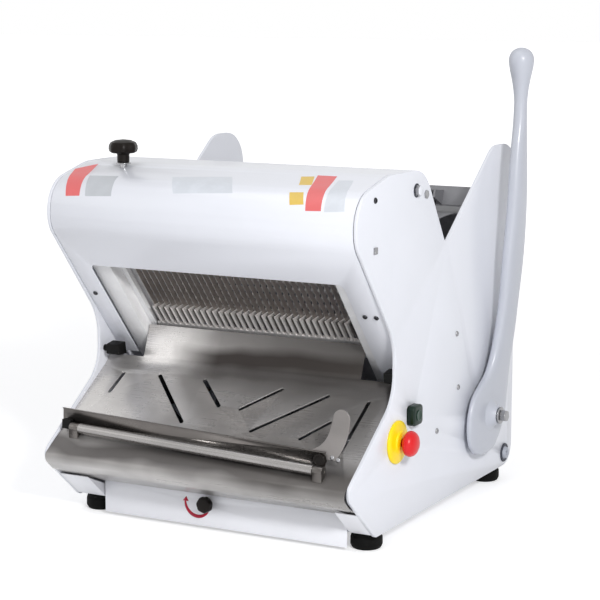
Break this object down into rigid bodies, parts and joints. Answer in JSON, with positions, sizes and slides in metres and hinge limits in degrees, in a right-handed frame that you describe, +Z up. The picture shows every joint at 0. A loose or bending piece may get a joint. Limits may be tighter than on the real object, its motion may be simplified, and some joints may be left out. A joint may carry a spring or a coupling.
{
  "type": "table-top bread slicer with hand feed lever",
  "caption": "Table-top bread slicer: white casing with a V-shaped loaf hopper, reciprocating blades behind a hood window, a sloping outlet chute and a hand lever that feeds the loaf.",
  "frame": {"origin": "bottom centre of the whole machine's bounding box, on the table", "axes": "+Z up, -Y the front with the outlet chute, +X the side with the hand lever"},
  "size_m": [0.676, 0.7016, 0.825],
  "materials": {
    "body_white": "smooth white baked enamel",
    "panel_white": "smooth white baked enamel",
    "sheet_steel": "brushed stainless sheet",
    "blade_steel": "ground and polished",
    "finger_steel": "satin stainless",
    "frame_alloy": "milled",
    "guide_plastic": "white slide plastic",
    "lever_grey": "light grey baked enamel on a casting",
    "shaft_steel": "turned",
    "bearing_bronze": "oiled bronze",
    "black_plastic": "moulded black",
    "knob_black": "polished black",
    "foot_rubber": "moulded rubber",
    "belt_rubber": "ribbed belt",
    "motor_paint": "dark grey enamel",
    "pulley_iron": "machined",
    "stop_red": "moulded",
    "stop_yellow": "moulded",
    "start_green": "moulded",
    "screw_steel": "plated"
  },
  "bodies": {
    "frame": {"left_panel": "panel_white", "right_panel": "panel_white", "hood": "body_white", "base_plate": "panel_white", "rear_cover": "panel_white", "rear_deck": "sheet_steel", "hopper_floor": "sheet_steel", "bed_comb": "finger_steel", "guide_plates": "guide_plastic", "guide_spacers": "shaft_steel", "shaft_bushes": "bearing_bronze", "crank_bearings": "pulley_iron", "motor": "motor_paint", "drive_belt": "belt_rubber", "slice_chute": "sheet_steel", "front_aprons": "panel_white", "chute_clips": "black_plastic", "floor_posts": "sheet_steel", "feet": "foot_rubber", "stop_bearings": "black_plastic", "estop_base": "stop_yellow", "start_housing": "black_plastic", "contact_blocks": "black_plastic", "cable_gland": "black_plastic", "panel_screws": "screw_steel", "hood_screws": "screw_steel"},
    "feed_lever": {"feed_lever": "lever_grey", "lever_bolt": "screw_steel", "feed_shaft": "shaft_steel", "pusher_arms": "frame_alloy", "pusher_bar": "frame_alloy", "pusher_comb": "finger_steel"},
    "blade_frame_front": {"blade_frame_front": "frame_alloy", "blades_front_set": "blade_steel", "blade_clamps_front": "blade_steel", "rod_pin_front": "shaft_steel"},
    "blade_frame_rear": {"blade_frame_rear": "frame_alloy", "blades_rear_set": "blade_steel", "blade_clamps_rear": "blade_steel", "rod_pin_rear": "shaft_steel"},
    "crank": {"crankshaft": "shaft_steel", "crank_pulley": "pulley_iron"},
    "rod_front": {"connecting_rod_front": "pulley_iron"},
    "rod_rear": {"connecting_rod_rear": "pulley_iron"},
    "motor_rotor": {"motor_shaft": "shaft_steel", "motor_pulley": "pulley_iron"},
    "crumb_drawer": {"crumb_drawer": "panel_white"},
    "drawer_knob": {"drawer_knob": "knob_black"},
    "hood_knob": {"hood_knob": "knob_black"},
    "stop_flap": {"stop_flap": "sheet_steel", "stop_handle": "lever_grey"},
    "estop_button": {"estop_button": "stop_red"},
    "start_button": {"start_button": "start_green"}
  },
  "joints": [
    {"name": "feed_swing", "type": "hinge", "parent": "frame", "child": "feed_lever", "pos_m": [-0.035, 0.18682, 0.155], "axis": [1, 0, 0], "range_deg": [0, 60]},
    {"name": "blade_stroke_front", "type": "slide", "parent": "frame", "child": "blade_frame_front", "axis": [0, -0.6468, 0.7627], "range_m": [-0.012, 0.012]},
    {"name": "blade_stroke_rear", "type": "slide", "parent": "frame", "child": "blade_frame_rear", "axis": [0, -0.6468, 0.7627], "range_m": [-0.012, 0.012]},
    {"name": "crank_spin", "type": "hinge", "parent": "frame", "child": "crank", "pos_m": [-0.035, 0.01311, 0.19941], "axis": [1, 0, 0], "continuous": true},
    {"name": "rod_front_turn", "type": "hinge", "parent": "crank", "child": "rod_front", "pos_m": [-0.035, 0.02227, 0.20717], "axis": [1, 0, 0], "continuous": true},
    {"name": "rod_rear_turn", "type": "hinge", "parent": "crank", "child": "rod_rear", "pos_m": [-0.035, 0.00396, 0.19165], "axis": [1, 0, 0], "continuous": true},
    {"name": "motor_spin", "type": "hinge", "parent": "frame", "child": "motor_rotor", "pos_m": [-0.035, 0.09882, 0.09], "axis": [1, 0, 0], "continuous": true},
    {"name": "drawer_slide", "type": "slide", "parent": "frame", "child": "crumb_drawer", "axis": [0, -1, 0], "range_m": [0, 0.22]},
    {"name": "drawer_knob_turn", "type": "hinge", "parent": "crumb_drawer", "child": "drawer_knob", "pos_m": [-0.052, -0.25518, 0.049], "axis": [0, -1, 0], "range_deg": [0, 90]},
    {"name": "hood_knob_turn", "type": "hinge", "parent": "frame", "child": "hood_knob", "pos_m": [-0.24, -0.22318, 0.6275], "axis": [0, 0, 1], "range_deg": [0, 180]},
    {"name": "stop_tip", "type": "hinge", "parent": "frame", "child": "stop_flap", "pos_m": [-0.235, -0.31118, 0.166], "axis": [0.9987, -0.0422, -0.028], "range_deg": [0, 55]},
    {"name": "estop_press", "type": "slide", "parent": "frame", "child": "estop_button", "axis": [-1, 0, 0], "range_m": [0, 0.004]},
    {"name": "start_press", "type": "slide", "parent": "frame", "child": "start_button", "axis": [-1, 0, 0], "range_m": [0, 0.003], "stiffness_N_per_m": 400}
  ],
  "couplings": [
    {"joint": "blade_stroke_rear", "follows": "blade_stroke_front", "ratio": -1},
    {"joint": "rod_front_turn", "follows": "crank_spin", "ratio": -1},
    {"joint": "rod_rear_turn", "follows": "crank_spin", "ratio": -1},
    {"joint": "motor_spin", "follows": "crank_spin", "ratio": 2.25}
  ]
}
